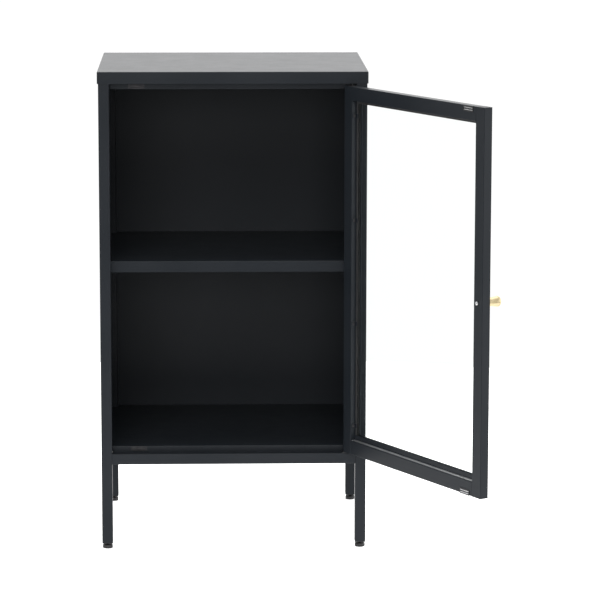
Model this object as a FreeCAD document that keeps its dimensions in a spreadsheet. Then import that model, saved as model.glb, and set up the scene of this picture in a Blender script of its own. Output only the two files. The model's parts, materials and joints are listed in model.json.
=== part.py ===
import FreeCAD, Part
import math
import os
import re
import Sketcher

# Free-standing sheet-steel display cabinet on four square legs, with one glazed door.
# Millimetres, +Z up. The origin is the centre of the footprint on the floor, +X is to the
# right of someone facing the door and the closed door faces -Y. The door is drawn open.

doc = FreeCAD.newDocument("DisplayCabinet")
sheet = doc.addObject("Spreadsheet::Sheet", "Dims")
working = doc.addObject("Spreadsheet::Sheet", "Working")

# Driving dimensions: alias, value, meaning
DIMENSIONS = (
    ("cap_width", 500, "top cap, left to right"),
    ("cap_depth", 410, "top cap, front to back"),
    ("full_height", 900, "floor to the top of the cap"),
    ("cap_drop", 22, "height of the cap's folded edge"),
    ("cap_overhang", 2, "cap edge beyond the posts"),
    ("cap_corner", 3, "radius of the cap's upright corners"),
    ("sheet_gauge", 1.2, "steel of cap, shelf, floor and stops"),
    ("panel_gauge", 1, "steel of the side and back panels"),
    ("panel_fold", 12, "depth of the panels' folded edges"),
    ("panel_recess", 1, "panel face behind the posts' outer face"),
    ("bend_radius", 1.4, "outside radius of folded edges"),
    ("tube_side", 20, "square tube of posts and rails"),
    ("tube_wall", 1.5, "wall of the square tube"),
    ("tube_radius", 1.2, "outside corner radius of the square tube"),
    ("leg_end", 11, "height of the legs' open ends"),
    ("rail_base", 162, "underside of the bottom rails"),
    ("floor_rise", 11.5, "floor pan's top above the bottom rails"),
    ("skirt_drop", 10, "floor pan's front skirt below the top of the rail"),
    ("shelf_top", 545, "height of the mid shelf"),
    ("shelf_lip", 21, "folded edge of the mid shelf"),
    ("pan_gap", 1.5, "gap round the shelf and the floor pan"),
    ("header_base", 866.2, "underside of the header stop"),
    ("header_rise", 26.8, "header stop, height"),
    ("header_shelf", 15, "header stop, depth of its lower leg"),
    ("door_base", 184, "underside of the door"),
    ("door_head", 874, "top of the door"),
    ("door_width", 452, "door, hinge edge to free edge"),
    ("door_depth", 17, "thickness of the door frame"),
    ("door_setback", 0.5, "closed door's face behind the posts' face"),
    ("frame_face", 26, "face width of the door frame members"),
    ("frame_wall", 1.2, "wall of the door frame tube"),
    ("frame_radius", 0.9, "corner radius of the door frame tube"),
    ("upper_fin", 5, "fin of the door's top rail, which the glass seats against"),
    ("stile_fin", 9, "fins of the stiles"),
    ("lower_fin", 10, "fin of the door's bottom rail"),
    ("pivot_edge", 6, "pivot axis to the hinge edge"),
    ("pivot_face", 4, "pivot axis to the door's outer face"),
    ("door_gap", 2, "hinge edge to the post"),
    ("door_open", 119.5, "degrees the door is drawn open"),
    ("pin_radius", 1.95, "pivot pin"),
    ("bore_radius", 2, "bearing bore for the pivot pin"),
    ("pin_reach", 11, "pivot pin inside the door"),
    ("bearing_depth", 12, "bearing and end plug, depth in the stile"),
    ("hinge_plate_gauge", 1.5, "thickness of the hinge plates"),
    ("hinge_plate_length", 24, "hinge plate along the rail"),
    ("hinge_plate_width", 18, "hinge plate across the rail"),
    ("hinge_plate_end", 7.5, "hinge plate beyond the pivot axis"),
    ("hinge_plate_inset", 0.5, "hinge plate behind the posts' face"),
    ("hinge_screw_side", 9, "hinge plate screw to the pivot axis, along the rail"),
    ("hinge_screw_back", 6, "hinge plate screw behind the pivot axis"),
    ("hinge_pilot", 1.3, "hinge screw hole in the rail, radius"),
    ("hinge_bore", 1.6, "hinge plate's screw hole, radius"),
    ("hinge_sink", 3.1, "hinge plate's countersink, radius"),
    ("washer_gauge", 0.45, "thrust washer under the door"),
    ("washer_radius", 3.8, "thrust washer, outside"),
    ("glass_gauge", 4, "thickness of the pane"),
    ("gasket_wall", 1, "wall of the glass gasket"),
    ("gasket_leg", 4.5, "reach of the gasket over the pane"),
    ("glazing_gap", 0.5, "gasket to the door frame"),
    ("bead_rise", 10, "top of the lower glass bead above the bottom rail"),
    ("strip_reach", 6, "setting strip under the pane, in front of the bead"),
    ("strip_gauge", 1.2, "setting strip, thickness"),
    ("clip_height", 8, "glass clip along the stile"),
    ("clip_gauge", 1, "glass clip thickness"),
    ("clip_foot", 9, "glass clip, leg on the stile"),
    ("clip_tongue", 6, "glass clip, leg over the pane"),
    ("clip_bore", 1.4, "glass clip's screw hole, radius"),
    ("clip_pilot", 1.3, "clip screw hole in the stile, radius"),
    ("clip_inset", 54, "end clips from the door's ends"),
    ("clip_screw_depth", 5.3, "clip screw from the bead side of the gasket"),
    ("catch_edge", 48, "middle of the catches from the door's free edge"),
    ("catch_length", 30, "catch flange, along the rail"),
    ("catch_height", 10, "catch flange, upright"),
    ("catch_proud", 1, "catch flange in front of the door's inner face"),
    ("catch_depth", 11, "catch housing inside the rail"),
    ("catch_window", 28, "opening in the rail for the catch, along the rail"),
    ("catch_shell", 27.6, "catch housing's shell, along the rail"),
    ("catch_shell_rise", 6.6, "catch housing's shell, upright"),
    ("catch_wall", 1, "back wall of the catch housing"),
    ("magnet_span", 25.2, "magnet and pole plates, along the rail"),
    ("magnet_gauge", 3.2, "magnet, thickness"),
    ("magnet_recess", 0.6, "magnet behind the ends of the pole plates"),
    ("pole_gauge", 0.8, "pole plates, thickness"),
    ("upper_catch_level", 868.2, "middle of the upper catch"),
    ("lower_catch_level", 188.6, "middle of the lower catch"),
    ("upper_strike_level", 871.4, "middle of the upper strike plate"),
    ("lower_strike_level", 188.6, "middle of the lower strike plate"),
    ("strike_height", 8.4, "strike plates, upright"),
    ("strike_gauge", 1.2, "strike plates, thickness"),
    ("strike_pitch", 21.6, "between the two screws of a strike plate"),
    ("strike_bore", 1.3, "strike plate's screw holes, radius"),
    ("strike_sink", 2.5, "strike plate's countersinks, radius"),
    ("strike_pilot", 1.1, "screw holes behind the strike plates, radius"),
    ("pilot_depth", 3, "depth cut for the strike plates' screw holes"),
    ("knob_level", 531, "height of the knob"),
    ("knob_edge", 15, "knob axis from the door's free edge"),
    ("knob_length", 28, "knob, along its axis"),
    ("knob_foot_radius", 7, "knob where it meets the door"),
    ("knob_head_radius", 9.6, "knob at its wide end"),
    ("knob_collar", 0.8, "collar at the knob's foot beyond the foot radius"),
    ("knob_collar_rise", 1.6, "collar at the knob's foot, along its axis"),
    ("knob_band", 4, "straight band at the knob's wide end"),
    ("knob_bevel", 1, "bevel round the knob's end face"),
    ("knob_bore_depth", 13, "threaded bore in the knob"),
    ("knob_screw_radius", 2, "thread of the knob screw"),
    ("knob_washer_radius", 4.6, "washer under the knob screw"),
    ("knob_washer_gauge", 0.8, "washer under the knob screw"),
    ("pad_radius", 9.5, "levelling foot pad"),
    ("pad_height", 7, "levelling foot pad"),
    ("pad_edge", 1.2, "bevel at the pad's lower edge"),
    ("pad_shoulder", 1.6, "bevel at the pad's upper edge"),
    ("pad_socket", 3, "stud's depth in the pad"),
    ("stud_radius", 4, "levelling foot stud"),
    ("stud_top", 30, "top of the stud above the floor"),
    ("insert_flange", 1, "flange of the leg insert"),
    ("insert_height", 18, "leg insert inside the leg"),
    ("insert_step", 0.3, "insert's flange inside the leg's faces"),
    ("thread_gap", 0.05, "clearance of the plain cylinders that stand for threads"),
    ("bracket_width", 20, "shelf bracket, front to back"),
    ("bracket_leg", 17, "shelf bracket, legs"),
    ("bracket_inset", 60, "shelf bracket from the post"),
    ("bracket_drop", 10, "bracket screw below the shelf's folded edge"),
    ("bracket_bore", 2.1, "bracket's screw hole, radius"),
    ("joint_gap", 0.5, "clearance at each end of the stops"),
    ("tool_over", 1, "how far a cutting tool runs past the face"),
)

for row, (alias, value, meaning) in enumerate(DIMENSIONS, start=1):
    sheet.set("A%d" % row, meaning)
    sheet.set("B%d" % row, str(value))
    sheet.setAlias("B%d" % row, alias)
doc.recompute()

# Places worked out from the driving dimensions, as spreadsheet expressions
HALF_X = "(cap_width / 2 - cap_overhang)"
HALF_Y = "(cap_depth / 2 - cap_overhang)"
CLEAR_X = "(cap_width / 2 - cap_overhang - tube_side)"
CLEAR_Y = "(cap_depth / 2 - cap_overhang - tube_side)"
RAIL_TOP = "(rail_base + tube_side)"
FLOOR_TOP = "(rail_base + tube_side + floor_rise)"
HEAD_BASE = "(full_height - sheet_gauge - tube_side)"
PIVOT_X = "(cap_width / 2 - cap_overhang - tube_side - door_gap - pivot_edge)"
PIVOT_Y = "(door_setback + pivot_face - cap_depth / 2 + cap_overhang)"
FREE_X = "(pivot_edge - door_width)"
INNER_Y = "(door_depth - pivot_face)"
SEAT_Y = "(frame_wall - pivot_face)"
BEAD_Y = "(frame_wall - pivot_face + glass_gauge + 2 * gasket_wall)"
LIGHT_LEFT = "(pivot_edge - door_width + frame_face)"
LIGHT_RIGHT = "(pivot_edge - frame_face)"
LIGHT_LOW = "(door_base + frame_face)"
LIGHT_HIGH = "(door_head - frame_face)"
SEAL_LOW = "(door_base + frame_face + strip_gauge)"
CATCH_X = "(pivot_edge - door_width + catch_edge)"
KNOB_X = "(pivot_edge - door_width + knob_edge)"
POST_X = "(cap_width / 2 - cap_overhang - tube_side / 2)"
POST_Y = "(cap_depth / 2 - cap_overhang - tube_side / 2)"
HINGE_SCREW_X = "(%s - hinge_screw_side)" % PIVOT_X
HINGE_SCREW_Y = "(%s + hinge_screw_back)" % PIVOT_Y
STRIKE_X = "(%s + %s)" % (PIVOT_X, CATCH_X)

SIDES = (("left", "-"), ("right", ""))
ENDS = (("front", "-"), ("rear", ""))

# Screws: head radius, head height, shank radius, shank length, countersunk
SCREWS = {
    "shelf_bracket": (3.4, 2.2, 1.9, 1.2, False),
    "hinge_plate": (3.0, 1.4, 1.25, 9, True),
    "strike": (2.4, 1.1, 1.05, 5, True),
    "glass_clip": (2.6, 1.5, 1.2, 6, False),
    "knob": (3.4, 2.2, 2.0, 28.8, False),
}
RECESS_SPAN = 1.1
RECESS_WIDTH = 0.24
RECESS_DEPTH = 0.5
HEAD_ROUND = 0.45
CLIPS_A_STILE = 4
LONG_EDGE = 100
TINY = 0.01

pieces = []


def value(alias):
    """The number that the sheet holds for an alias."""
    return float(sheet.get(alias))


def bound(text):
    """Make spreadsheet references of the aliases in a formula; each alias has an underscore."""
    return re.sub(r"[a-z]+(?:_[a-z]+)+", lambda found: "Dims." + found.group(0), text)


def worth(formula):
    """The number that a formula of aliases comes to."""
    working.set("A1", "=" + bound(formula))
    working.recompute()
    return float(working.get("A1"))


def keep(piece):
    """Add a finished sub-part to the ones that are written."""
    pieces.append(piece)
    return piece


def place(piece, x="0", y="0", z="0"):
    """Bind a sub-part's position in the cabinet."""
    for axis, text in (("x", x), ("y", y), ("z", z)):
        piece.setExpression("Placement.Base." + axis, bound(text))
    return piece


def hang(piece):
    """Carry a door piece, drawn closed about its pivot axis, to the open door's place."""
    piece.Placement.Rotation = FreeCAD.Rotation(FreeCAD.Vector(0, 0, 1), value("door_open"))
    piece.setExpression("Placement.Rotation.Angle", bound("door_open * 1 deg"))
    return keep(place(piece, PIVOT_X, PIVOT_Y))


# ---- sketches and PartDesign features ----

def new_body(label):
    """An empty PartDesign body."""
    return doc.addObject("PartDesign::Body", label)


def sketch_on(body, role, offset="0"):
    """A sketch on one of the body's own origin planes, moved along the plane's normal."""
    sketch = body.newObject("Sketcher::SketchObject", body.Label + "_sketch")
    planes = [item for item in body.Origin.OriginFeatures if item.Role == role]
    sketch.AttachmentSupport = [(planes[0], "")]
    sketch.MapMode = "FlatFace"
    sketch.setExpression("AttachmentOffset.Base.z", bound(offset))
    return sketch


def fix_point(sketch, geometry, end, x, y):
    """Hold a sketch point at x, y, both formulas."""
    for kind, text in (("DistanceX", x), ("DistanceY", y)):
        index = sketch.addConstraint(Sketcher.Constraint(kind, -1, 1, geometry, end, 1.0))
        name = "%s_%d_%d" % (kind, geometry, end)
        sketch.renameConstraint(index, name)
        sketch.setExpression("Constraints." + name, bound(text))


def add_outline(sketch, corners):
    """A closed outline of straight lines through the corners, each an x, y pair of formulas."""
    first = sketch.GeometryCount
    count = len(corners)
    ring = [FreeCAD.Vector(math.cos(2 * math.pi * i / count), math.sin(2 * math.pi * i / count), 0)
            for i in range(count)]
    for i in range(count):
        sketch.addGeometry(Part.LineSegment(ring[i], ring[(i + 1) % count]))
    for i in range(count):
        following = first + (i + 1) % count
        sketch.addConstraint(Sketcher.Constraint("Coincident", first + i, 2, following, 1))
    for i, (x, y) in enumerate(corners):
        fix_point(sketch, first + i, 1, x, y)


def add_rectangle(sketch, left, right, low, high):
    """A rectangle between formulas."""
    add_outline(sketch, ((left, low), (right, low), (right, high), (left, high)))


def add_circle(sketch, x, y, radius):
    """A circle whose centre and radius are formulas."""
    index = sketch.addGeometry(Part.Circle(FreeCAD.Vector(1, 1, 0), FreeCAD.Vector(0, 0, 1), 1))
    fix_point(sketch, index, 3, x, y)
    constraint = sketch.addConstraint(Sketcher.Constraint("Radius", index, 1.0))
    name = "Radius_%d" % index
    sketch.renameConstraint(constraint, name)
    sketch.setExpression("Constraints." + name, bound(radius))


def pad(body, sketch, length, symmetric=False, reverse=False):
    """Raise a sketch into a solid."""
    feature = body.newObject("PartDesign::Pad", body.Label + "_pad")
    feature.Profile = sketch
    feature.setExpression("Length", bound(length))
    feature.SideType = "Symmetric" if symmetric else "One side"
    feature.Reversed = reverse
    sketch.Visibility = False
    doc.recompute()
    return feature


def pocket(body, sketch, length, reverse=False):
    """Cut a sketch into the solid and make sure that it took material away."""
    before = body.Shape.Volume
    feature = body.newObject("PartDesign::Pocket", body.Label + "_pocket")
    feature.Profile = sketch
    feature.setExpression("Length", bound(length))
    feature.Reversed = reverse
    doc.recompute()
    if body.Shape.Volume >= before - TINY:
        raise RuntimeError("a pocket in %s cuts nothing" % body.Label)
    return feature


def edge_names(shape, wanted):
    """The names of the straight edges whose direction and middle suit the test."""
    names = []
    for number, edge in enumerate(shape.Edges, start=1):
        if isinstance(edge.Curve, Part.Line):
            run = edge.Vertexes[-1].Point - edge.Vertexes[0].Point
            middle = (edge.Vertexes[-1].Point + edge.Vertexes[0].Point) / 2
            if wanted(run, middle, edge.Length):
                names.append("Edge%d" % number)
    return names


def round_edges(body, radius, wanted):
    """Fillet the chosen edges of the body's last feature."""
    doc.recompute()
    last = body.Tip
    names = edge_names(last.Shape, wanted)
    if not names:
        raise RuntimeError("no edge to round on " + body.Label)
    feature = body.newObject("PartDesign::Fillet", body.Label + "_fillet")
    feature.Base = (last, names)
    feature.setExpression("Radius", bound(radius))
    doc.recompute()
    return feature


def near(a, b):
    """Whether two lengths are the same to a hundredth."""
    return abs(a - b) < TINY


# ---- Part primitives and booleans ----

def block(label, x, y, z, length, width, height):
    """A box by its low corner and its sizes, all formulas."""
    solid = doc.addObject("Part::Box", label)
    for name, text in (("Length", length), ("Width", width), ("Height", height)):
        solid.setExpression(name, bound(text))
    return place(solid, x, y, z)


def rod(label, x, y, z, radius, height):
    """An upright cylinder by its base point, radius and height, all formulas."""
    solid = doc.addObject("Part::Cylinder", label)
    solid.setExpression("Radius", bound(radius))
    solid.setExpression("Height", bound(height))
    return place(solid, x, y, z)


def cone(label, x, y, z, low_radius, high_radius, height):
    """An upright cone by its base point, radii and height, all formulas."""
    solid = doc.addObject("Part::Cone", label)
    for name, formula in (("Radius1", low_radius), ("Radius2", high_radius), ("Height", height)):
        solid.setExpression(name, bound(formula))
    return place(solid, x, y, z)


def lying_rod(label, x, y, z, radius, length, axis):
    """A cylinder lying along +Y or -X from a point, all formulas."""
    solid = rod(label, x, y, z, radius, length)
    turn = {"+Y": (FreeCAD.Vector(1, 0, 0), -90), "-X": (FreeCAD.Vector(0, 1, 0), -90)}[axis]
    solid.Placement.Rotation = FreeCAD.Rotation(*turn)
    return solid


def cut(label, base, tools):
    """One solid less others."""
    result = doc.addObject("Part::Cut", label)
    result.Base = base
    result.Tool = tools[0] if len(tools) == 1 else fuse(label + "_tools", tools)
    return result


def fuse(label, parts):
    """Several solids joined into one."""
    result = doc.addObject("Part::MultiFuse", label)
    result.Shapes = parts
    return result


def group(label, solids):
    """Identical separate solids kept as one sub-part."""
    result = doc.addObject("Part::Compound", label)
    result.Links = solids
    return result


# ---- fasteners ----

def cross_screw(kind):
    """A cross-recess screw along -Z, its seat at the origin and its head above it."""
    head_radius, head_height, shank_radius, shank_length, countersunk = SCREWS[kind]
    if countersunk:
        top = 0
        base = FreeCAD.Vector(0, 0, -head_height)
        head = Part.makeCone(shank_radius, head_radius, head_height, base)
    else:
        top = head_height
        head = Part.makeCylinder(head_radius, head_height)
        rim = [edge for edge in head.Edges if near(edge.BoundBox.ZMin, head_height)]
        head = head.makeFillet(head_height * HEAD_ROUND, rim[:1])
    shank = Part.makeCylinder(shank_radius, shank_length, FreeCAD.Vector(0, 0, -shank_length))
    solid = head.fuse(shank).removeSplitter()
    span, width, depth = (part * size for part, size in (
        (RECESS_SPAN, head_radius), (RECESS_WIDTH, head_radius), (RECESS_DEPTH, head_height)))
    for length, breadth in ((span, width), (width, span)):
        corner = FreeCAD.Vector(-length / 2, -breadth / 2, top - depth)
        solid = solid.cut(Part.makeBox(length, breadth, depth * 2, corner))
    return solid


def screw_group(label, kind, places):
    """Copies of one screw as one sub-part; each place is a point and the head's direction."""
    screw = cross_screw(kind)
    copies = []
    for point, direction in places:
        copy = screw.copy()
        turn = FreeCAD.Rotation(FreeCAD.Vector(0, 0, 1), FreeCAD.Vector(*direction))
        copy.Placement = FreeCAD.Placement(FreeCAD.Vector(*point), turn)
        copies.append(copy)
    feature = doc.addObject("Part::Feature", label)
    feature.Shape = Part.makeCompound(copies)
    return feature


# ---- welded frame ----

def square_tube(label, role, length, offset="0", symmetric=False):
    """A square tube about its own axis, standing on or centred on an origin plane."""
    body = new_body(label)
    sketch = sketch_on(body, role, offset)
    half = "tube_side / 2"
    bore = "(tube_side / 2 - tube_wall)"
    add_rectangle(sketch, "-" + half, half, "-" + half, half)
    add_rectangle(sketch, "-" + bore, bore, "-" + bore, bore)
    pad(body, sketch, length, symmetric)
    return body


def round_tube(body, direction):
    """Round a square tube's four long outer edges."""
    reach = value("tube_side") / 2

    def is_outer(run, middle, length):
        across = [abs(c) for i, c in enumerate(middle) if i != direction]
        return near(abs(run[direction]), length) and near(across[0], reach) and near(across[1], reach)

    round_edges(body, "tube_radius", is_outer)


def make_posts():
    """Four corner posts, which run on below the cabinet as its legs."""
    for end, end_sign in ENDS:
        for side, side_sign in SIDES:
            body = square_tube("%s_%s_post" % (end, side), "XY_Plane",
                               "full_height - sheet_gauge - leg_end", "leg_end")
            round_tube(body, 2)
            keep(place(body, side_sign + POST_X, end_sign + POST_Y))


def make_rails():
    """Eight rails that tie the posts together under the cap and under the floor."""
    for level, centre in (("top", HEAD_BASE + " + tube_side / 2"), ("bottom", "rail_base + tube_side / 2")):
        for end, sign in ENDS:
            body = square_tube("%s_%s_rail" % (level, end), "YZ_Plane", "2 * " + CLEAR_X, symmetric=True)
            round_tube(body, 0)
            if end == "front":
                drill_hinge_rail(body, level)
            keep(place(body, "0", sign + POST_Y, centre))
        for side, sign in SIDES:
            body = square_tube("%s_%s_rail" % (level, side), "XZ_Plane", "2 * " + CLEAR_Y, symmetric=True)
            round_tube(body, 1)
            keep(place(body, sign + POST_X, "0", centre))


def drill_hinge_rail(body, level):
    """The hinge plate's screw hole in a front rail's wall nearest the door."""
    sketch = sketch_on(body, "XY_Plane", "tube_side / 2" if level == "bottom" else "-tube_side / 2")
    add_circle(sketch, HINGE_SCREW_X, HINGE_SCREW_Y + " + " + POST_Y, "hinge_pilot")
    pocket(body, sketch, "tube_wall + tool_over", reverse=(level == "top"))


# ---- folded sheet ----

def make_cap():
    """The lid: a shallow tray turned over the top of the frame."""
    body = new_body("top_cap")
    half_x, half_y = "cap_width / 2", "cap_depth / 2"
    sketch = sketch_on(body, "XY_Plane", "full_height - cap_drop")
    add_rectangle(sketch, "-" + half_x, half_x, "-" + half_y, half_y)
    pad(body, sketch, "cap_drop")
    hollow = sketch_on(body, "XY_Plane", "full_height - cap_drop")
    in_x, in_y = "(cap_width / 2 - sheet_gauge)", "(cap_depth / 2 - sheet_gauge)"
    add_rectangle(hollow, "-" + in_x, in_x, "-" + in_y, in_y)
    pocket(body, hollow, "cap_drop - sheet_gauge", reverse=True)
    reach_x, reach_y, top = value("cap_width") / 2, value("cap_depth") / 2, value("full_height")
    round_edges(body, "cap_corner", lambda run, middle, length:
                near(abs(run.z), length) and near(abs(middle.x), reach_x) and near(abs(middle.y), reach_y))
    round_edges(body, "bend_radius", lambda run, middle, length:
                near(middle.z, top) and length > LONG_EDGE)
    keep(body)


def pan_corners(inset, front):
    """Corners of a sheet that fills the cabinet's plan and is notched round the rear posts."""
    wide = "(%s - panel_recess - panel_gauge - pan_gap - %s)" % (HALF_X, inset)
    narrow = "(%s - panel_gauge - pan_gap / 2 - %s)" % (CLEAR_X, inset)
    back = "(%s - panel_recess - panel_gauge - pan_gap - %s)" % (HALF_Y, inset)
    notch = "(%s - pan_gap - %s)" % (CLEAR_Y, inset)
    near_edge = "(%s + %s)" % (front, inset)
    right = [(wide, near_edge), (wide, notch), (narrow, notch), (narrow, back)]
    left = [("-" + x, y) for x, y in reversed(right)]
    return right + left


def folded_pan(label, top, drop, front):
    """A sheet with all its edges folded down."""
    body = new_body(label)
    sketch = sketch_on(body, "XY_Plane", "%s - %s" % (top, drop))
    add_outline(sketch, pan_corners("0", front))
    pad(body, sketch, drop)
    hollow = sketch_on(body, "XY_Plane", "%s - %s" % (top, drop))
    add_outline(hollow, pan_corners("sheet_gauge", front))
    pocket(body, hollow, "%s - sheet_gauge" % drop, reverse=True)
    return body


def make_shelf():
    """The mid shelf, whose folded edges rest on four brackets."""
    body = folded_pan("mid_shelf", "shelf_top", "shelf_lip", "(pan_gap - %s)" % CLEAR_Y)
    front, top = value("pan_gap") - worth(CLEAR_Y), value("shelf_top")
    round_edges(body, "bend_radius", lambda run, middle, length:
                near(middle.y, front) and near(middle.z, top))
    keep(body)


def make_floor():
    """The floor pan, whose front skirt runs down behind the bottom front rail as a door stop."""
    body = folded_pan("floor_pan", FLOOR_TOP, "(floor_rise - panel_gauge)", "(pan_gap - %s)" % CLEAR_Y)
    half = "(%s - joint_gap)" % CLEAR_X
    nose = sketch_on(body, "XY_Plane", FLOOR_TOP)
    add_rectangle(nose, "-" + half, half, "-" + CLEAR_Y, "(pan_gap + sheet_gauge - %s)" % CLEAR_Y)
    pad(body, nose, "sheet_gauge", reverse=True)
    skirt = sketch_on(body, "XY_Plane", FLOOR_TOP)
    add_rectangle(skirt, "-" + half, half, "-" + CLEAR_Y, "(sheet_gauge - %s)" % CLEAR_Y)
    pad(body, skirt, "floor_rise + skirt_drop", reverse=True)
    front, top = -worth(CLEAR_Y), worth(FLOOR_TOP)
    round_edges(body, "bend_radius", lambda run, middle, length:
                near(middle.y, front) and near(middle.z, top) and length > LONG_EDGE)
    drill_front(body, "lower_strike_level")
    keep(body)


def drill_front(body, level):
    """Drill a stop behind a strike plate, level with the plate's screws."""
    sketch = sketch_on(body, "XZ_Plane", CLEAR_Y)
    for x, z in strike_spots(level):
        add_circle(sketch, x, z, "strike_pilot")
    pocket(body, sketch, "pilot_depth")


def make_header():
    """The angle behind the top of the door, welded to the back of the top front rail."""
    body = new_body("header_stop")
    sketch = sketch_on(body, "YZ_Plane")
    face, back = "(-%s)" % CLEAR_Y, "(sheet_gauge - %s)" % CLEAR_Y
    tail = "(header_shelf - %s)" % CLEAR_Y
    step = "(header_base + sheet_gauge)"
    add_outline(sketch, ((face, "header_base"), (tail, "header_base"), (tail, step), (back, step),
                         (back, "(header_base + header_rise)"), (face, "(header_base + header_rise)")))
    pad(body, sketch, "2 * (%s - joint_gap)" % CLEAR_X, symmetric=True)
    front, base = -worth(CLEAR_Y), value("header_base")
    round_edges(body, "bend_radius", lambda run, middle, length:
                near(middle.y, front) and near(middle.z, base) and length > LONG_EDGE)
    drill_front(body, "upper_strike_level")
    keep(body)


def make_panels():
    """Side and back panels: sheets whose edges are folded in and welded to the posts and rails."""
    height = "%s - %s" % (HEAD_BASE, RAIL_TOP)
    for side, sign in SIDES:
        body = new_body(side + "_side_panel")
        outward = side == "right"
        sketch = sketch_on(body, "YZ_Plane", sign + "(%s - panel_recess)" % HALF_X)
        add_rectangle(sketch, "-" + CLEAR_Y, CLEAR_Y, RAIL_TOP, "%s + %s" % (RAIL_TOP, height))
        pad(body, sketch, "panel_fold", reverse=outward)
        hollow = sketch_on(body, "YZ_Plane", sign + "(%s - panel_recess - panel_gauge)" % HALF_X)
        inset_y = "(%s - panel_gauge)" % CLEAR_Y
        add_rectangle(hollow, "-" + inset_y, inset_y, "%s + panel_gauge" % RAIL_TOP,
                      "%s - panel_gauge" % HEAD_BASE)
        pocket(body, hollow, "panel_fold", reverse=not outward)
        keep(body)
    body = new_body("back_panel")
    sketch = sketch_on(body, "XZ_Plane", "-(%s - panel_recess)" % HALF_Y)
    add_rectangle(sketch, "-" + CLEAR_X, CLEAR_X, RAIL_TOP, HEAD_BASE)
    pad(body, sketch, "panel_fold")
    hollow = sketch_on(body, "XZ_Plane", "-(%s - panel_recess - panel_gauge)" % HALF_Y)
    inset_x = "(%s - panel_gauge)" % CLEAR_X
    add_rectangle(hollow, "-" + inset_x, inset_x, "%s + panel_gauge" % RAIL_TOP,
                  "%s - panel_gauge" % HEAD_BASE)
    pocket(body, hollow, "panel_fold", reverse=True)
    keep(body)


# ---- shelf brackets ----

def make_brackets():
    """Four angle brackets under the ends of the shelf, and their screws."""
    wall = "(%s - panel_recess - panel_gauge)" % HALF_X
    level = "(shelf_top - shelf_lip)"
    middle = "(%s - bracket_inset)" % CLEAR_Y
    angles = []
    for side, sign in SIDES:
        right = side == "right"
        ledge_x = wall + " - bracket_leg" if right else "-" + wall
        upright_x = wall + " - sheet_gauge" if right else "-" + wall
        hole_x = wall + " + tool_over" if right else "-%s + sheet_gauge + tool_over" % wall
        for end, along in ENDS:
            name = "%s_%s_bracket" % (end, side)
            y = "%s%s - bracket_width / 2" % (along, middle)
            ledge = block(name + "_ledge", ledge_x, y, level + " - sheet_gauge",
                          "bracket_leg", "bracket_width", "sheet_gauge")
            upright = block(name + "_upright", upright_x, y, level + " - bracket_leg",
                            "sheet_gauge", "bracket_width", "bracket_leg - sheet_gauge")
            hole = lying_rod(name + "_hole", hole_x, along + middle, level + " - bracket_drop",
                             "bracket_bore", "sheet_gauge + 2 * tool_over", "-X")
            angles.append(cut(name, fuse(name + "_angle", [ledge, upright]), [hole]))
    keep(group("shelf_brackets", angles))
    reach, y = worth(wall + " - sheet_gauge"), worth(middle)
    z = worth(level + " - bracket_drop")
    places = [((sx * reach, sy * y, z), (-sx, 0, 0)) for sx in (-1, 1) for sy in (-1, 1)]
    keep(screw_group("shelf_bracket_screws", "shelf_bracket", places))


# ---- hinge hardware on the cabinet ----

def hinge_plate(label, z, flush_up):
    """A pivot plate with a press-fit pin hole and a countersunk screw hole."""
    plate = block(label + "_blank", PIVOT_X + " - hinge_plate_length + hinge_plate_end",
                  "hinge_plate_inset - " + HALF_Y, z,
                  "hinge_plate_length", "hinge_plate_width", "hinge_plate_gauge")
    pin_hole = rod(label + "_pin_hole", PIVOT_X, PIVOT_Y, z + " - tool_over",
                   "pin_radius", "hinge_plate_gauge + 2 * tool_over")
    low, high = ("hinge_bore", "hinge_sink") if flush_up else ("hinge_sink", "hinge_bore")
    sink = cone(label + "_sink", HINGE_SCREW_X, HINGE_SCREW_Y, z, low, high, "hinge_plate_gauge")
    return keep(cut(label, plate, [pin_hole, sink]))


def make_hinge():
    """Lower and upper pivot plates, their pins, their screws and the thrust washer."""
    hinge_plate("lower_hinge_plate", RAIL_TOP, True)
    upper = HEAD_BASE + " - hinge_plate_gauge"
    hinge_plate("upper_hinge_plate", upper, False)
    keep(rod("lower_hinge_pin", PIVOT_X, PIVOT_Y, RAIL_TOP, "pin_radius",
             "door_base + pin_reach - " + RAIL_TOP))
    keep(rod("upper_hinge_pin", PIVOT_X, PIVOT_Y, "door_head - pin_reach", "pin_radius",
             HEAD_BASE + " - door_head + pin_reach"))
    low = RAIL_TOP + " + hinge_plate_gauge"
    ring = rod("thrust_washer_blank", PIVOT_X, PIVOT_Y, low, "washer_radius", "washer_gauge")
    eye = rod("thrust_washer_eye", PIVOT_X, PIVOT_Y, low + " - tool_over", "bore_radius",
              "washer_gauge + 2 * tool_over")
    keep(cut("thrust_washer", ring, [eye]))
    x, y = worth(HINGE_SCREW_X), worth(HINGE_SCREW_Y)
    places = [((x, y, worth(low)), (0, 0, 1)), ((x, y, worth(upper)), (0, 0, -1))]
    keep(screw_group("hinge_plate_screws", "hinge_plate", places))


def strike_spots(level):
    """Where a strike plate's two screws go: x and z in the cabinet."""
    return [("(%s %s strike_pitch / 2)" % (STRIKE_X, sign), level) for sign in "-+"]


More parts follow.
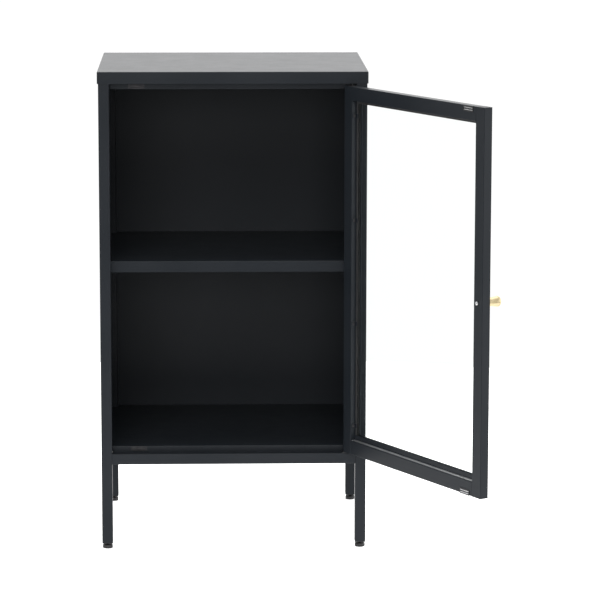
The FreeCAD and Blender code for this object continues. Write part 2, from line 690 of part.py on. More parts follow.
def make_strikes():
    """Steel plates that the door's magnets close on, and their screws."""
    face = "(-%s - strike_gauge)" % CLEAR_Y
    places = []
    for name in ("upper", "lower"):
        level = name + "_strike_level"
        label = name + "_strike_plate"
        plate = block(label + "_blank", STRIKE_X + " - catch_length / 2", face,
                      level + " - strike_height / 2", "catch_length", "strike_gauge", "strike_height")
        holes = []
        for index, (x, z) in enumerate(strike_spots(level)):
            sink = cone("%s_sink_%d" % (label, index), x, face, z,
                        "strike_sink", "strike_bore", "strike_gauge")
            sink.Placement.Rotation = FreeCAD.Rotation(FreeCAD.Vector(1, 0, 0), -90)
            holes.append(sink)
            places.append(((worth(x), worth(face), value(level)), (0, -1, 0)))
        keep(cut(label, plate, holes))
    keep(screw_group("strike_screws", "strike", places))


# ---- levelling feet ----

def make_feet():
    """A threaded insert in each leg's end and a levelling foot of a stud and a pad in each."""
    inserts = []
    socket = "(pad_height - pad_socket)"
    outline = (("0", "0"), ("(pad_radius - pad_edge)", "0"), ("pad_radius", "pad_edge"),
               ("pad_radius", "(pad_height - pad_shoulder)"),
               ("(pad_radius - pad_shoulder)", "pad_height"),
               ("stud_radius", "pad_height"), ("stud_radius", socket), ("0", socket))
    for end, end_sign in ENDS:
        for side, side_sign in SIDES:
            name = "%s_%s" % (end, side)
            x, y = side_sign + POST_X, end_sign + POST_Y
            inserts.append(leg_insert(name + "_insert", x, y))
            body = new_body(name + "_foot_pad")
            sketch = sketch_on(body, "XZ_Plane")
            add_outline(sketch, outline)
            revolve(body, sketch, "V_Axis")
            keep(place(body, x, y))
            keep(rod(name + "_foot_stud", x, y, socket, "stud_radius", "stud_top - " + socket))
    keep(group("leg_inserts", inserts))


def revolve(body, sketch, axis):
    """Turn a sketch right round one of its own axes."""
    feature = body.newObject("PartDesign::Revolution", body.Label + "_revolution")
    feature.Profile = sketch
    feature.ReferenceAxis = (sketch, [axis])
    feature.Angle = 360
    doc.recompute()
    return feature


def leg_insert(name, x, y):
    """A square plug for a leg's end, with a flange below and a bore for the foot's stud."""
    bore = "(tube_side - 2 * tube_wall)"
    seat = "(leg_end - insert_flange)"
    wide = "(tube_side - 2 * insert_step)"
    plug = block(name + "_plug", "%s - %s / 2" % (x, bore), "%s - %s / 2" % (y, bore), "leg_end",
                 bore, bore, "insert_height")
    flange = block(name + "_flange", "%s - %s / 2" % (x, wide), "%s - %s / 2" % (y, wide), seat,
                   wide, wide, "insert_flange")
    hole = rod(name + "_thread", x, y, seat + " - tool_over", "stud_radius + thread_gap",
               "insert_height + insert_flange + 2 * tool_over")
    return cut(name, fuse(name + "_solid", [plug, flange]), [hole])


# ---- door, drawn closed about its pivot axis ----

def door_tube(sketch, left, right, low, high):
    """The hollow section of a door frame member."""
    add_rectangle(sketch, left, right, low, high)
    add_rectangle(sketch, left + " + frame_wall", right + " - frame_wall",
                  low + " + frame_wall", high + " - frame_wall")


def round_member(body, direction, first, second):
    """Round a door member's four long outer edges; first and second are its faces' places."""
    others = [i for i in range(3) if i != direction]

    def is_outer(run, middle, length):
        return (near(abs(run[direction]), length) and length > LONG_EDGE
                and any(near(middle[others[0]], face) for face in first)
                and any(near(middle[others[1]], face) for face in second))

    round_edges(body, "frame_radius", is_outer)


def clip_levels():
    """Heights of the glass clips on each stile."""
    steps = CLIPS_A_STILE - 1
    return ["(door_base + clip_inset + %d * (door_head - door_base - 2 * clip_inset) / %d)" % (i, steps)
            for i in range(CLIPS_A_STILE)]


def make_stile(label, left, right, light, fin_left, fin_right):
    """An upright of the door frame: a tube with a thin fin that the glass seats against."""
    body = new_body(label)
    tube = sketch_on(body, "XY_Plane", "door_base")
    door_tube(tube, left, right, "-pivot_face", INNER_Y)
    pad(body, tube, "door_head - door_base")
    round_member(body, 2, [worth(left), worth(right)], [worth("-pivot_face"), worth(INNER_Y)])
    fin = sketch_on(body, "XY_Plane", LIGHT_LOW)
    add_rectangle(fin, fin_left, fin_right, "-pivot_face", SEAT_Y)
    pad(body, fin, "%s - %s" % (LIGHT_HIGH, LIGHT_LOW))
    holes = sketch_on(body, "YZ_Plane", light)
    add_circle(holes, BEAD_Y + " + clip_screw_depth", clip_levels()[0], "clip_pilot")
    drilled = pocket(body, holes, "frame_wall + tool_over / 2", reverse=(label == "door_hinge_stile"))
    pattern = body.newObject("PartDesign::LinearPattern", label + "_clip_holes")
    pattern.Originals = [drilled]
    pattern.Direction = (holes, ["V_Axis"])
    pattern.Occurrences = CLIPS_A_STILE
    pattern.setExpression("Length", bound("door_head - door_base - 2 * clip_inset"))
    body.Tip = pattern
    doc.recompute()
    return body


def make_stiles():
    """Hinge stile and free stile; the free stile also has the knob's screw hole."""
    hang(make_stile("door_hinge_stile", LIGHT_RIGHT, "pivot_edge", LIGHT_RIGHT,
                    LIGHT_RIGHT + " - stile_fin", LIGHT_RIGHT + " + frame_radius"))
    body = make_stile("door_free_stile", FREE_X, LIGHT_LEFT, LIGHT_LEFT,
                      LIGHT_LEFT + " - frame_radius", LIGHT_LEFT + " + stile_fin")
    hole = sketch_on(body, "XZ_Plane", "-" + INNER_Y)
    add_circle(hole, KNOB_X, "knob_level", "knob_screw_radius + 2 * thread_gap")
    pocket(body, hole, "door_depth + tool_over", reverse=True)
    hang(body)


def make_door_rail(label, low, high, fin_low, fin_high, catch_level):
    """A cross member of the door frame, with its fin and the opening for its magnetic catch."""
    body = new_body(label)
    middle = "((%s + %s) / 2)" % (LIGHT_LEFT, LIGHT_RIGHT)
    span = "(%s - %s)" % (LIGHT_RIGHT, LIGHT_LEFT)
    tube = sketch_on(body, "YZ_Plane", middle)
    door_tube(tube, "-pivot_face", INNER_Y, low, high)
    pad(body, tube, span, symmetric=True)
    round_member(body, 0, [worth("-pivot_face"), worth(INNER_Y)], [worth(low), worth(high)])
    fin = sketch_on(body, "YZ_Plane", middle)
    add_rectangle(fin, "-pivot_face", SEAT_Y, fin_low, fin_high)
    pad(body, fin, span + " - 2 * stile_fin", symmetric=True)
    window = sketch_on(body, "XZ_Plane", "-" + INNER_Y)
    add_rectangle(window, CATCH_X + " - catch_window / 2", CATCH_X + " + catch_window / 2",
                  catch_level + " - catch_shell_rise / 2", catch_level + " + catch_shell_rise / 2")
    pocket(body, window, "frame_wall + tool_over", reverse=True)
    hang(body)


def make_door_rails():
    """Top and bottom members of the door frame."""
    make_door_rail("door_top_rail", LIGHT_HIGH, "door_head", LIGHT_HIGH + " - upper_fin",
                   LIGHT_HIGH + " + frame_radius", "upper_catch_level")
    make_door_rail("door_bottom_rail", "door_base", LIGHT_LOW, LIGHT_LOW + " - frame_radius",
                   LIGHT_LOW + " + lower_fin", "lower_catch_level")


def make_glazing():
    """The pane, its gasket, the setting strip and bead under it, and the clips and their screws."""
    left, right = LIGHT_LEFT + " + glazing_gap", LIGHT_RIGHT + " - glazing_gap"
    low, high = SEAL_LOW, LIGHT_HIGH + " - glazing_gap"
    wide, tall = "%s - (%s)" % (right, left), "%s - %s" % (high, low)
    glass_y = SEAT_Y + " + gasket_wall"
    sandwich = "(glass_gauge + 2 * gasket_wall)"

    def pane(label):
        return block(label, left + " + gasket_wall", glass_y, low + " + gasket_wall",
                     wide + " - 2 * gasket_wall", "glass_gauge", tall + " - 2 * gasket_wall")

    hang_primitive(pane("door_glass"))
    ring = block("glass_gasket_blank", left, SEAT_Y, low, wide, sandwich, tall)
    light = block("glass_gasket_light", left + " + gasket_leg", SEAT_Y + " - tool_over",
                  low + " + gasket_leg", wide + " - 2 * gasket_leg", sandwich + " + 2 * tool_over",
                  tall + " - 2 * gasket_leg")
    hang(cut("glass_gasket", ring, [light, pane("glass_gasket_groove")]))
    hang_primitive(block("glass_setting_strip", left, SEAT_Y, LIGHT_LOW, wide,
                         sandwich + " + sheet_gauge + strip_reach", "strip_gauge"))
    hang_primitive(block("lower_glass_bead", left, BEAD_Y, SEAL_LOW, wide, "sheet_gauge",
                         "bead_rise - strip_gauge"))
    make_clips()


def hang_primitive(piece):
    """Wrap a box so that it can turn with the door, and hang it."""
    return hang(group(piece.Label + "_placed", [piece]))


def make_clips():
    """Small angle clips that hold the pane in from behind, four on each stile."""
    clips, places = [], []
    screw_y = BEAD_Y + " + clip_screw_depth"
    across = "(clip_tongue - clip_gauge)"
    for side, face in (("hinge", LIGHT_RIGHT), ("free", LIGHT_LEFT)):
        free = side == "free"
        foot_x = face if free else face + " - clip_gauge"
        tongue_x = face + (" + clip_gauge" if free else " - clip_tongue")
        hole_x = face + (" + clip_gauge + tool_over" if free else " + tool_over")
        seat = worth(face + (" + clip_gauge" if free else " - clip_gauge"))
        for index, level in enumerate(clip_levels()):
            name = "%s_clip_%d" % (side, index)
            low = level + " - clip_height / 2"
            foot = block(name + "_foot", foot_x, BEAD_Y, low, "clip_gauge", "clip_foot", "clip_height")
            tongue = block(name + "_tongue", tongue_x, BEAD_Y, low, across, "clip_gauge", "clip_height")
            hole = lying_rod(name + "_hole", hole_x, screw_y, level, "clip_bore",
                             "clip_gauge + 2 * tool_over", "-X")
            clips.append(cut(name, fuse(name + "_angle", [foot, tongue]), [hole]))
            places.append(((seat, worth(screw_y), worth(level)), (1 if free else -1, 0, 0)))
    hang(group("glass_clips", clips))
    hang(screw_group("glass_clip_screws", "glass_clip", places))


def make_plugs():
    """Nylon bearings in the ends of the hinge stile and plain plugs in the free stile."""
    wide, deep = "frame_face - 2 * frame_wall", "door_depth - 2 * frame_wall"
    plugs = []
    for name, low in (("lower", "door_base"), ("upper", "door_head - bearing_depth")):
        solid = block(name + "_bearing_blank", LIGHT_RIGHT + " + frame_wall", SEAT_Y, low,
                      wide, deep, "bearing_depth")
        bore = rod(name + "_bearing_bore", "0", "0", low + " - tool_over", "bore_radius",
                   "bearing_depth + 2 * tool_over")
        hang(cut("door_%s_bearing" % name, solid, [bore]))
        plugs.append(block("end_plug_" + name, FREE_X + " + frame_wall", SEAT_Y, low,
                           wide, deep, "bearing_depth"))
    hang(group("free_stile_end_plugs", plugs))


def make_catches():
    """Magnetic catches let into the door's rails: a housing, a magnet and two pole plates each."""
    back = INNER_Y + " - catch_depth + catch_wall"
    slot_rise = "(magnet_gauge + 2 * pole_gauge)"
    deep = "(catch_depth + catch_proud - catch_wall)"
    core_x = CATCH_X + " - magnet_span / 2"
    below_and_above = (" - magnet_gauge / 2 - pole_gauge", " + magnet_gauge / 2")
    poles, magnets = [], []
    for name in ("upper", "lower"):
        level = name + "_catch_level"
        flange = block(name + "_catch_flange", CATCH_X + " - catch_length / 2", INNER_Y,
                       level + " - catch_height / 2", "catch_length", "catch_proud", "catch_height")
        shell = block(name + "_catch_shell", CATCH_X + " - catch_shell / 2",
                      INNER_Y + " - catch_depth", level + " - catch_shell_rise / 2",
                      "catch_shell", "catch_depth", "catch_shell_rise")
        slot = block(name + "_catch_slot", core_x, back, "%s - %s / 2" % (level, slot_rise),
                     "magnet_span", deep + " + tool_over", slot_rise)
        hang(cut(name + "_catch_housing", fuse(name + "_catch_body", [flange, shell]), [slot]))
        for index, offset in enumerate(below_and_above):
            poles.append(block("%s_pole_%d" % (name, index), core_x, back, level + offset,
                               "magnet_span", deep, "pole_gauge"))
        magnets.append(block(name + "_magnet", core_x, back, level + " - magnet_gauge / 2",
                             "magnet_span", deep + " - magnet_recess", "magnet_gauge"))
    hang(group("catch_pole_plates", poles))
    hang(group("catch_magnets", magnets))


def make_knob():
    """The turned knob on the door's outer face, and the screw and washer that hold it."""
    body = new_body("door_knob")
    sketch = sketch_on(body, "XY_Plane", "knob_level")
    base = "-pivot_face"
    end = "-(pivot_face + knob_length)"
    collar = KNOB_X + " + knob_foot_radius + knob_collar"
    head = KNOB_X + " + knob_head_radius"
    bore = KNOB_X + " + knob_screw_radius + thread_gap"
    add_outline(sketch, ((bore, base),
                         (collar, base),
                         (collar, base + " - knob_collar_rise"),
                         (KNOB_X + " + knob_foot_radius", base + " - knob_collar_rise - knob_collar"),
                         (head, end + " + knob_band"),
                         (head, end + " + knob_bevel"),
                         (head + " - knob_bevel", end),
                         (KNOB_X, end),
                         (KNOB_X, base + " - knob_bore_depth"),
                         (bore, base + " - knob_bore_depth")))
    axis = sketch.addGeometry(Part.LineSegment(FreeCAD.Vector(0, 0, 0), FreeCAD.Vector(0, 1, 0)), True)
    fix_point(sketch, axis, 1, KNOB_X, base)
    fix_point(sketch, axis, 2, KNOB_X, end)
    revolve(body, sketch, "Axis0")
    hang(body)
    seat = INNER_Y + " + knob_washer_gauge"
    place_of_screw = (worth(KNOB_X), worth(seat), value("knob_level"))
    hang(screw_group("knob_screw", "knob", [(place_of_screw, (0, 1, 0))]))
    disc = lying_rod("knob_washer_disc", KNOB_X, INNER_Y, "knob_level", "knob_washer_radius",
                     "knob_washer_gauge", "+Y")
    eye = lying_rod("knob_washer_eye", KNOB_X, INNER_Y + " - tool_over", "knob_level",
                    "knob_screw_radius + 2 * thread_gap", "knob_washer_gauge + 2 * tool_over", "+Y")
    hang(cut("knob_washer", disc, [eye]))


def check_and_write():
    """Stop on any failed object or bad shape, then write one STEP file for each sub-part."""
    doc.recompute()
    for item in doc.Objects:
        if "Invalid" in item.State or "Error" in item.State:
            raise RuntimeError("%s failed: %s" % (item.Label, item.State))
    for piece in pieces:
        if piece.Shape.isNull() or not piece.Shape.isValid():
            raise RuntimeError("%s has no valid shape" % piece.Label)
    os.makedirs("parts", exist_ok=True)
    for piece in pieces:
        name = piece.Label.removesuffix("_placed")
        piece.Shape.exportStep("parts/%s.step" % name)
    print("wrote", len(pieces), "sub-parts")


make_posts()
make_rails()
make_cap()
make_shelf()
make_floor()
make_header()
make_panels()
make_brackets()
make_hinge()
make_strikes()
make_feet()
make_stiles()
make_door_rails()
make_glazing()
make_plugs()
make_catches()
make_knob()
check_and_write()
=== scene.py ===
import json
import math

import bmesh
import bpy
from mathutils import Matrix, Vector


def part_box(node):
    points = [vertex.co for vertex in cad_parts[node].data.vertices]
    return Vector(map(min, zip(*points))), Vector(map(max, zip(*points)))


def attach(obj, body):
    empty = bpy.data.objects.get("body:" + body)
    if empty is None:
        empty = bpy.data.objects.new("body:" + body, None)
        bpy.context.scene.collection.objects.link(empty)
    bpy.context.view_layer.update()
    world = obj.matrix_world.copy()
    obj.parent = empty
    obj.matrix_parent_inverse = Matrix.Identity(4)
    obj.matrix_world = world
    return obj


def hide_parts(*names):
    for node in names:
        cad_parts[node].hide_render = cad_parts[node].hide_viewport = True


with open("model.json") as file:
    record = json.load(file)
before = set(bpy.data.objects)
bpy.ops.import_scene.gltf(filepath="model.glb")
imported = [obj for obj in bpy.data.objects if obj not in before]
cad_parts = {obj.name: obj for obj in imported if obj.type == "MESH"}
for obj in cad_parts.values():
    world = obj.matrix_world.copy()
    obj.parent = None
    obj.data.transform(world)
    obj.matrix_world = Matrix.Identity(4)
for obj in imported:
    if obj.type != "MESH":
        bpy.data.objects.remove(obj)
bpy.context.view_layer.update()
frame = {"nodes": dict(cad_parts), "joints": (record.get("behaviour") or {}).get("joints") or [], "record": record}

MM = 0.001


# ---- shader graphs ----

class Graph:
    """Builds one material's nodes; every pattern is laid out in the part's own coordinates."""

    def __init__(self, name):
        self.material = bpy.data.materials.new(name)
        self.material.use_nodes = True
        self.tree = self.material.node_tree
        self.tree.nodes.clear()
        self.output = self.tree.nodes.new("ShaderNodeOutputMaterial")
        self.place = self.tree.nodes.new("ShaderNodeTexCoord").outputs["Object"]

    def node(self, kind, **settings):
        """A node with its properties set by name and its sockets by label."""
        made = self.tree.nodes.new("ShaderNode" + kind)
        for key, given in settings.items():
            setattr(made, key, given)
        return made

    def feed(self, socket, given):
        """Link an output, or set a plain value."""
        if isinstance(given, bpy.types.NodeSocket):
            self.tree.links.new(given, socket)
        else:
            socket.default_value = given

    def shader(self, **values):
        """The Principled shader; keys are socket names with _ for a space."""
        made = self.node("BsdfPrincipled")
        for key, given in values.items():
            self.feed(made.inputs[key.replace("_", " ")], given)
        self.tree.links.new(made.outputs["BSDF"], self.output.inputs["Surface"])

    def noise(self, scale, detail=2.0, roughness=0.5, place=None, distortion=0.0):
        """Noise from 0 to 1; scale is in cycles a metre."""
        made = self.node("TexNoise")
        self.feed(made.inputs["Vector"], place or self.place)
        self.feed(made.inputs["Scale"], scale)
        self.feed(made.inputs["Detail"], detail)
        self.feed(made.inputs["Roughness"], roughness)
        self.feed(made.inputs["Distortion"], distortion)
        return made.outputs["Fac"]

    def cells(self, scale):
        """Distance to the nearest point of a Voronoi pattern."""
        made = self.node("TexVoronoi", feature="F1")
        self.feed(made.inputs["Vector"], self.place)
        self.feed(made.inputs["Scale"], scale)
        return made.outputs["Distance"]

    def spread(self, given, low, high, to_low=0.0, to_high=1.0):
        """Stretch low..high to to_low..to_high and hold it there."""
        made = self.node("MapRange")
        for label, number in (("Value", given), ("From Min", low), ("From Max", high),
                              ("To Min", to_low), ("To Max", to_high)):
            self.feed(made.inputs[label], number)
        return made.outputs["Result"]

    def math(self, operation, first, second=0.0):
        """A number worked out from two."""
        made = self.node("Math", operation=operation)
        self.feed(made.inputs[0], first)
        self.feed(made.inputs[1], second)
        return made.outputs[0]

    def blend(self, share, first, second):
        """A colour between two."""
        made = self.node("Mix", data_type="RGBA")
        self.feed(made.inputs["Factor"], share)
        self.feed(made.inputs["A"], first)
        self.feed(made.inputs["B"], second)
        return made.outputs["Result"]

    def stretch(self, scale):
        """The part's coordinates scaled along each axis."""
        made = self.node("Mapping")
        self.feed(made.inputs["Vector"], self.place)
        self.feed(made.inputs["Scale"], scale)
        return made.outputs["Vector"]

    def bump(self, height, depth, strength=1.0, under=None):
        """A normal from a height of 0 to 1 that stands for depth metres."""
        made = self.node("Bump")
        self.feed(made.inputs["Height"], height)
        self.feed(made.inputs["Distance"], depth)
        self.feed(made.inputs["Strength"], strength)
        if under is not None:
            self.feed(made.inputs["Normal"], under)
        return made.outputs["Normal"]


def powder_coat():
    """Satin black powder coat on sheet steel: orange peel, fine grain, faint handling marks."""
    g = Graph("black_powder_coat")
    peel = g.noise(520, 2.0, 0.45)
    grain = g.noise(2600, 2.0, 0.6)
    drift = g.noise(5.5, 2.0, 0.5)
    smears = g.noise(26, 4.0, 0.62, place=g.stretch((1.0, 1.0, 0.35)), distortion=0.6)
    specks = g.spread(g.cells(260), 0.05, 0.13, 1.0, 0.0)
    tone = g.blend(g.spread(drift, 0.35, 0.65), (0.0102, 0.0127, 0.0160, 1), (0.0131, 0.0155, 0.0190, 1))
    tone = g.blend(g.math("MULTIPLY", specks, 0.25), tone, (0.05, 0.052, 0.056, 1))
    dull = g.math("ADD", g.spread(smears, 0.35, 0.7, 0.365, 0.395), g.spread(grain, 0.3, 0.7, -0.03, 0.03))
    normal = g.bump(grain, 0.000006, 0.6, g.bump(peel, 0.00003, 0.5))
    g.shader(Base_Color=tone, Roughness=dull, Normal=normal, IOR=1.5, Specular_IOR_Level=0.14)
    return g.material


def clear_glass():
    """Clear float glass: see-through, with a thin gloss and a trace of dust."""
    g = Graph("clear_glass")
    dust = g.spread(g.noise(900, 3.0, 0.7), 0.62, 0.8, 0.0, 0.006)
    clear = g.node("BsdfTransparent")
    g.feed(clear.inputs["Color"], (0.985, 0.995, 0.99, 1))
    film = g.node("BsdfGlossy")
    g.feed(film.inputs["Color"], (0.95, 0.97, 0.96, 1))
    g.feed(film.inputs["Roughness"], g.spread(g.noise(60, 3.0, 0.6), 0.3, 0.7, 0.02, 0.05))
    specks = g.node("BsdfDiffuse")
    g.feed(specks.inputs["Color"], (0.5, 0.5, 0.49, 1))
    slant = g.math("POWER", g.node("LayerWeight").outputs["Facing"], 6.0)
    gloss = g.math("ADD", g.math("MULTIPLY", slant, 0.7), 0.004)
    surface = clear.outputs[0]
    for share, layer in ((gloss, film), (dust, specks)):
        mix = g.node("MixShader")
        g.feed(mix.inputs[0], share)
        g.tree.links.new(surface, mix.inputs[1])
        g.tree.links.new(layer.outputs[0], mix.inputs[2])
        surface = mix.outputs[0]
    g.tree.links.new(surface, g.output.inputs["Surface"])
    return g.material


def brushed_metal(name, low, high, rough, grain):
    """Metal whose tone and roughness drift, with a fine grain."""
    g = Graph(name)
    drift = g.noise(160, 3.0, 0.6)
    fine = g.noise(grain, 2.0, 0.6)
    tone = g.blend(g.spread(drift, 0.35, 0.65), low, high)
    dull = g.spread(drift, 0.3, 0.7, rough, rough + 0.1)
    g.shader(Base_Color=tone, Metallic=1.0, Roughness=dull, Normal=g.bump(fine, 0.00001, 0.5))
    return g.material


def moulded(name, low, high, rough, grain):
    """Moulded plastic or rubber with a fine skin texture."""
    g = Graph(name)
    drift = g.noise(90, 3.0, 0.6)
    skin = g.noise(grain, 2.0, 0.55)
    tone = g.blend(g.spread(drift, 0.35, 0.65), low, high)
    dull = g.spread(skin, 0.3, 0.7, rough - 0.06, rough + 0.06)
    g.shader(Base_Color=tone, Roughness=dull, Normal=g.bump(skin, 0.00002, 0.6))
    return g.material


MATERIALS = {
    "black_powder_coat": powder_coat(),
    "clear_glass": clear_glass(),
    "brass": brushed_metal("brass", (0.46, 0.38, 0.22, 1), (0.58, 0.49, 0.31, 1), 0.30, 2200),
    "blackened_steel": brushed_metal(
        "blackened_steel", (0.03, 0.03, 0.032, 1), (0.05, 0.05, 0.052, 1), 0.4, 1800),
    "aluminium": brushed_metal("aluminium", (0.72, 0.73, 0.74, 1), (0.82, 0.83, 0.84, 1), 0.35, 1500),
    "zinc_steel": brushed_metal("zinc_steel", (0.62, 0.63, 0.65, 1), (0.78, 0.78, 0.78, 1), 0.26, 1800),
    "ferrite": brushed_metal("ferrite", (0.07, 0.07, 0.075, 1), (0.11, 0.11, 0.115, 1), 0.5, 1500),
    "black_rubber": moulded("black_rubber", (0.012, 0.012, 0.013, 1), (0.02, 0.02, 0.021, 1), 0.6, 1500),
    "black_nylon": moulded("black_nylon", (0.006, 0.006, 0.007, 1), (0.011, 0.011, 0.012, 1), 0.55, 1800),
}


def finish_cad_nodes():
    """Give every CAD node its slot's material."""
    for entry in frame["record"]["subparts"]:
        node = frame["nodes"][entry["node"]]
        node.data.materials.clear()
        node.data.materials.append(MATERIALS[entry["material_slot"]])


finish_cad_nodes()


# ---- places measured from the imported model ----

ROOM = Matrix.Identity(4)
SWING = frame["joints"][0]
PIVOT = Vector(SWING["pos_m"])
OPEN = -math.radians(SWING["range_deg"][0])
DOOR = Matrix.Translation((PIVOT.x, PIVOT.y, 0)) @ Matrix.Rotation(OPEN, 4, "Z")


def solids(node, space=ROOM):
    """The lowest and highest corner of each separate solid of a CAD node, along a space's axes."""
    mesh = frame["nodes"][node].data
    leader = list(range(len(mesh.vertices)))

    def head(index):
        while leader[index] != index:
            index = leader[index]
        return index

    places = {}
    for vertex in mesh.vertices:
        spot = tuple(round(part / (0.01 * MM)) for part in vertex.co)
        leader[head(vertex.index)] = head(places.setdefault(spot, vertex.index))
    for edge in mesh.edges:
        leader[head(edge.vertices[0])] = head(edge.vertices[1])
    inward = space.inverted()
    groups = {}
    for vertex in mesh.vertices:
        groups.setdefault(head(vertex.index), []).append(inward @ vertex.co)
    boxes = []
    for points in groups.values():
        low = Vector([min(point[axis] for point in points) for axis in range(3)])
        high = Vector([max(point[axis] for point in points) for axis in range(3)])
        boxes.append((low, high))
    return sorted(boxes, key=lambda ends: tuple(ends[0]))


def whole(node, space=ROOM):
    """The lowest and highest corner of a whole CAD node along a space's axes."""
    boxes = solids(node, space)
    low = Vector([min(ends[0][axis] for ends in boxes) for axis in range(3)])
    high = Vector([max(ends[1][axis] for ends in boxes) for axis in range(3)])
    return low, high


# ---- building pieces ----

def arc(centre_x, centre_y, radius, start, end, steps=5):
    """Points on an arc; angles in degrees."""
    turns = [math.radians(start + (end - start) * step / steps) for step in range(steps + 1)]
    return [(centre_x + radius * math.cos(turn), centre_y + radius * math.sin(turn)) for turn in turns]


def along_x(y, z, x):
    """Lift an outline in y and z to a distance x."""
    return Vector((x, y, z))


def along_y(x, z, y):
    """Lift an outline in x and z to a distance y."""
    return Vector((x, y, z))


def along_z(x, y, z):
    """Lift an outline in x and y to a height z."""
    return Vector((x, y, z))


EDGE_STEPS = 3
RIM_STEPS = 2
RIM_ANGLE = math.radians(60)


class Piece:
    """A mesh built in one space from turned, extruded and framed shapes."""

    def __init__(self, name, space=ROOM):
        self.name = name
        self.space = space
        self.net = bmesh.new()

    def skin(self, rings, looped=False):
        """Join rings of the same number of points; a run that is not looped is closed at both ends."""
        made = [[self.net.verts.new(point) for point in ring] for ring in rings]
        count = len(rings[0])
        pairs = list(zip(made, made[1:]))
        if looped:
            pairs.append((made[-1], made[0]))
        for first, second in pairs:
            for i in range(count):
                j = (i + 1) % count
                self.net.faces.new((first[i], first[j], second[j], second[i]))
        if not looped:
            self.net.faces.new(made[0])
            self.net.faces.new(made[-1])
        return [vertex for ring in made for vertex in ring]

    def turned(self, profile, base, axis, sides=40):
        """A lathe shape: profile is (radius, distance along the axis) from one end to the other."""
        turn = Vector(axis).to_track_quat("Z", "Y")
        rings = []
        for radius, along in profile:
            steps = [math.tau * side / sides for side in range(sides)]
            ring = [Vector((radius * math.cos(step), radius * math.sin(step), along)) for step in steps]
            rings.append([Vector(base) + turn @ point for point in ring])
        self.skin(rings)

    def extruded(self, outline, lift, start, end, soft):
        """An outline carried from start to end, with the rims of both ends rounded by soft."""
        near = [lift(u, v, start) for u, v in outline]
        far = [lift(u, v, end) for u, v in outline]
        made = self.skin([near, far])
        edges = [edge for edge in self.net.edges if edge.verts[0] in made]
        rims = [edge for edge in edges if len(edge.link_faces) == 2
                and max(len(face.verts) for face in edge.link_faces) == len(outline)
                and edge.calc_face_angle(0) > RIM_ANGLE]
        bmesh.ops.bevel(self.net, geom=rims, offset=soft, segments=RIM_STEPS,
                        affect="EDGES", clamp_overlap=True)

    def framed(self, profile, low, high):
        """A profile of (inward, y) points carried round an upright rectangle with mitred corners."""
        corners = ((low.x, low.z, 1, 1), (high.x, low.z, -1, 1),
                   (high.x, high.z, -1, -1), (low.x, high.z, 1, -1))
        rings = [[Vector((x + sx * inward, y, z + sz * inward)) for inward, y in profile]
                 for x, z, sx, sz in corners]
        self.skin(rings, looped=True)

    def brick(self, low, high, soft):
        """A block with all its edges rounded."""
        middle, size = (low + high) / 2, high - low
        made = bmesh.ops.create_cube(self.net, size=1.0)["verts"]
        for vertex in made:
            vertex.co = middle + Vector([vertex.co[axis] * size[axis] for axis in range(3)])
        edges = list({edge for vertex in made for edge in vertex.link_edges})
        bmesh.ops.bevel(self.net, geom=edges, offset=soft, segments=EDGE_STEPS, affect="EDGES", profile=0.5)

    def finish(self, body, slot, *replaced, sharp=38):
        """Make the object, shade it, and hand it to its body, slot and CAD nodes."""
        bmesh.ops.recalc_face_normals(self.net, faces=self.net.faces)
        self.net.transform(self.space)
        mesh = bpy.data.meshes.new(self.name)
        self.net.to_mesh(mesh)
        self.net.free()
        mesh.shade_smooth()
        mesh.set_sharp_from_angle(angle=math.radians(sharp))
        mesh.materials.append(MATERIALS[slot])
        made = bpy.data.objects.new(self.name, mesh)
        bpy.context.scene.collection.objects.link(made)
        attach(made, body)
        if replaced:
            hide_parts(*replaced)


# ---- levelling feet ----

THREAD_PITCH = 1.25 * MM
THREAD_DEPTH = 0.45 * MM
PAD_SHOULDER, PAD_HEEL = 0.32, 0.16
GRIP_RADIUS = 0.965
CENTRE_HOLE = 0.02
PAD_SIDES, STUD_SIDES = 48, 28


def make_foot(corner):
    """A moulded pad with a rounded shoulder and a grip groove, and its stud ribbed like a thread."""
    pad_node, stud_node = corner + "_foot_pad", corner + "_foot_stud"
    low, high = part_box(pad_node)
    radius, rise = (high.x - low.x) / 2, high.z - low.z
    centre = Vector(((low.x + high.x) / 2, (low.y + high.y) / 2, low.z))
    bend, toe = PAD_SHOULDER * rise, PAD_HEEL * rise
    shoulder = arc(radius - bend, rise - bend, bend, 0, 90, 7)
    heel = arc(radius - toe, toe, toe, -90, 0, 5)
    grip = GRIP_RADIUS * radius
    groove = [(radius, 0.34 * rise), (grip, 0.38 * rise), (grip, 0.44 * rise), (radius, 0.48 * rise)]
    crown = [(0.62 * radius, rise), (0.58 * radius, 0.93 * rise), (CENTRE_HOLE * radius, 0.93 * rise)]
    sole = [(CENTRE_HOLE * radius, 0), (0.7 * radius, 0)]
    pad = Piece(corner + "_levelling_pad")
    pad.turned(sole + heel + groove + shoulder + crown, centre, (0, 0, 1), PAD_SIDES)
    body = corner + "_foot"
    pad.finish(body, "black_nylon", pad_node)
    low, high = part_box(stud_node)
    radius = (high.x - low.x) / 2
    turns = int((high.z - low.z) / THREAD_PITCH)
    profile = []
    for turn in range(turns):
        base = turn * THREAD_PITCH
        profile += [(radius - THREAD_DEPTH, base), (radius - THREAD_DEPTH, base + 0.15 * THREAD_PITCH),
                    (radius, base + 0.45 * THREAD_PITCH), (radius, base + 0.6 * THREAD_PITCH)]
    profile.append((radius - THREAD_DEPTH, high.z - low.z))
    stud = Piece(corner + "_threaded_stud")
    stud.turned(profile, (centre.x, centre.y, low.z), (0, 0, 1), STUD_SIDES)
    stud.finish(body, "blackened_steel", stud_node)


